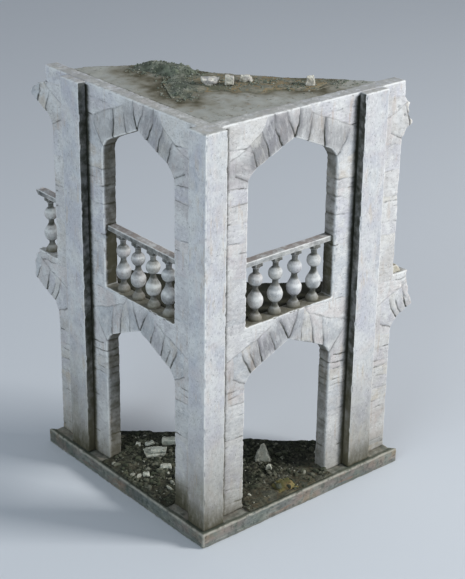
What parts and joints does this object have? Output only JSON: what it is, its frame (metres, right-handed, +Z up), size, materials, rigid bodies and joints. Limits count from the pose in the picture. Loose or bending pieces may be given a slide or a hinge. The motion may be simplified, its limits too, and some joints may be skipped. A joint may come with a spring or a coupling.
{
  "type": "miniature terrain ruin",
  "caption": "Ruined two-storey arcade corner for tabletop scenery: arched wall panels on a square pier, balustrades, broken floors, rubble and a triangular base.",
  "frame": {"origin": "under the middle of the whole model's box, on the surface that the base stands on", "axes": "+Z up, the right wall runs along +X with its face towards -Y, the left wall runs along +Y with its face towards -X, and the corner pier is at the low X and low Y corner"},
  "size_m": [0.1372, 0.1436, 0.2048],
  "materials": {
    "wall_plaster": "matte",
    "pier_plaster": "matte",
    "floor_plaster": "matte",
    "base_plaster": "matte",
    "balustrade_plaster": "matte",
    "earth": "matte",
    "gravel": "matte",
    "rubble": "matte"
  },
  "bodies": {
    "root": {"right_wall": "wall_plaster", "left_wall": "wall_plaster", "corner_pier": "pier_plaster", "right_outer_pilaster": "pier_plaster", "left_outer_pilaster": "pier_plaster", "first_floor_slab": "floor_plaster", "roof_slab": "floor_plaster", "base_plate": "base_plaster", "right_handrail": "balustrade_plaster", "left_handrail": "balustrade_plaster", "left_stub_handrail": "balustrade_plaster", "left_stub_baluster": "balustrade_plaster", "right_baluster_1": "balustrade_plaster", "right_baluster_2": "balustrade_plaster", "right_baluster_3": "balustrade_plaster", "right_baluster_4": "balustrade_plaster", "left_baluster_1": "balustrade_plaster", "left_baluster_2": "balustrade_plaster", "left_baluster_3": "balustrade_plaster", "left_baluster_4": "balustrade_plaster", "groundwork": "earth", "earth_mound": "earth", "roof_gravel": "gravel", "roof_flat_chunk": "rubble", "roof_block_chunk": "rubble", "roof_wedge_chunk": "rubble", "roof_small_chunk": "rubble", "sill_fragment": "rubble", "floor_tile_chunk": "rubble", "stacked_tile_chunk": "rubble", "curved_tile_chunk": "rubble", "brick_chunk": "rubble", "pale_chunk": "rubble", "doorway_stone": "rubble", "back_stone": "rubble", "pointed_shard": "rubble", "small_stone": "rubble"}
  },
  "joints": []
}
